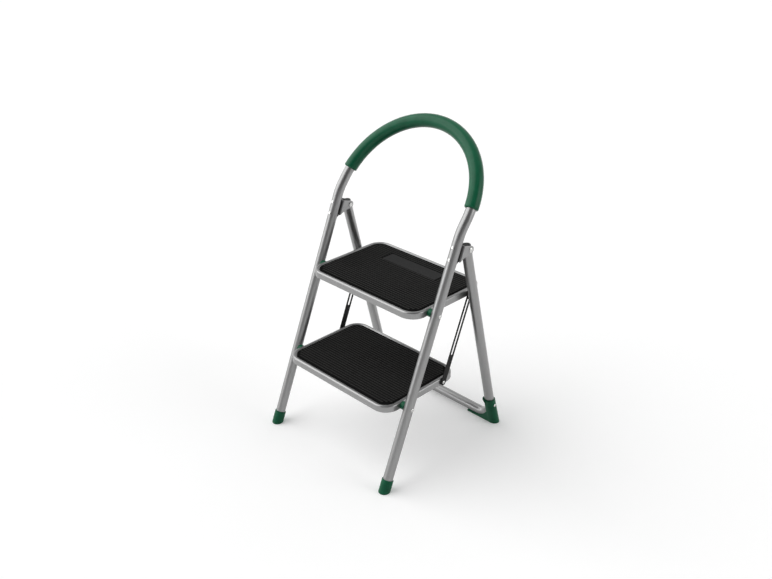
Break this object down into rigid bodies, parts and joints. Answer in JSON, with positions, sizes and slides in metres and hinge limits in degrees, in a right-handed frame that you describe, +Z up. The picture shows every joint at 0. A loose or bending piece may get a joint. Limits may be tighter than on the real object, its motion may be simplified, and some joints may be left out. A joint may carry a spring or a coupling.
{
  "type": "two-step ladder",
  "caption": "Folding step ladder with studded rubber treads, a tall hoop handrail with a soft grip, and slotted link bars that fold the steps as the rear legs close.",
  "frame": {"origin": "on the floor, midway between the front of the front feet and the back of the rear feet, in the plane of symmetry", "axes": "+Z up; +Y from the climbing side towards the rear legs; +X to the right of a person who climbs it"},
  "size_m": [0.453, 0.4523, 0.8185],
  "materials": {
    "silver_steel": "silver-grey, semi-gloss",
    "black_steel": "black, satin",
    "rivet_steel": "bright zinc",
    "green_grip": "dark green foam, satin",
    "green_foot": "dark green, satin",
    "green_bush": "dark green, satin",
    "black_rubber": "black, matt, studded",
    "black_plastic": "black, matt"
  },
  "bodies": {
    "front_frame": {"front_tube": "silver_steel", "hand_grip": "green_grip", "left_front_foot": "green_foot", "right_front_foot": "green_foot", "left_hinge_bracket": "silver_steel", "right_hinge_bracket": "silver_steel", "bracket_rivets": "rivet_steel", "rear_hinge_rivets": "rivet_steel", "top_step_pivot_rivets": "rivet_steel", "bottom_step_pivot_rivets": "rivet_steel", "left_top_step_bush": "green_bush", "right_top_step_bush": "green_bush", "left_bottom_step_bush": "green_bush", "right_bottom_step_bush": "green_bush"},
    "rear_frame": {"rear_tube": "silver_steel", "left_rear_foot": "green_foot", "right_rear_foot": "green_foot", "rear_foot_rivets": "rivet_steel", "left_rear_tube_plug": "black_plastic", "right_rear_tube_plug": "black_plastic"},
    "top_step": {"top_tray": "silver_steel", "top_mat": "black_rubber", "left_top_link_spacer": "black_plastic", "right_top_link_spacer": "black_plastic", "top_link_rivets": "rivet_steel"},
    "bottom_step": {"bottom_tray": "silver_steel", "bottom_mat": "black_rubber", "left_bottom_link_spacer": "black_plastic", "right_bottom_link_spacer": "black_plastic", "bottom_link_rivets": "rivet_steel"},
    "left_link": {"left_link_bar": "black_steel"},
    "right_link": {"right_link_bar": "black_steel"},
    "left_guide": {"left_guide_pin": "rivet_steel"},
    "right_guide": {"right_guide_pin": "rivet_steel"}
  },
  "joints": [
    {"name": "rear_fold", "type": "hinge", "parent": "front_frame", "child": "rear_frame", "pos_m": [0, 0.06309, 0.56457], "axis": [-1, 0, 0], "range_deg": [0, 36.9]},
    {"name": "top_step_fold", "type": "hinge", "parent": "front_frame", "child": "top_step", "pos_m": [0, -0.03748, 0.424], "axis": [1, 0, 0], "range_deg": [0, 51.82]},
    {"name": "bottom_step_fold", "type": "hinge", "parent": "front_frame", "child": "bottom_step", "pos_m": [0, -0.12726, 0.204], "axis": [1, 0, 0], "range_deg": [0, 51.82]},
    {"name": "left_link_swing", "type": "hinge", "parent": "top_step", "child": "left_link", "pos_m": [-0.1891, 0.10741, 0.424], "axis": [-1, 0, 0], "range_deg": [0, 51.82]},
    {"name": "right_link_swing", "type": "hinge", "parent": "top_step", "child": "right_link", "pos_m": [0.1891, 0.10741, 0.424], "axis": [-1, 0, 0], "range_deg": [0, 51.82]},
    {"name": "left_guide_slide", "type": "slide", "parent": "left_link", "child": "left_guide", "axis": [0, -0.3778, -0.9259], "range_m": [0, 0.11613]},
    {"name": "right_guide_slide", "type": "slide", "parent": "right_link", "child": "right_guide", "axis": [0, -0.3778, -0.9259], "range_m": [0, 0.11613]}
  ],
  "couplings": [
    {"joint": "top_step_fold", "follows": "rear_fold", "ratio": 1.4031},
    {"joint": "bottom_step_fold", "follows": "rear_fold", "ratio": 1.4031},
    {"joint": "left_link_swing", "follows": "rear_fold", "ratio": 1.4031},
    {"joint": "right_link_swing", "follows": "rear_fold", "ratio": 1.4031},
    {"joint": "left_guide_slide", "follows": "rear_fold", "m_per_rad": 0.18001},
    {"joint": "right_guide_slide", "follows": "rear_fold", "m_per_rad": 0.18001}
  ]
}
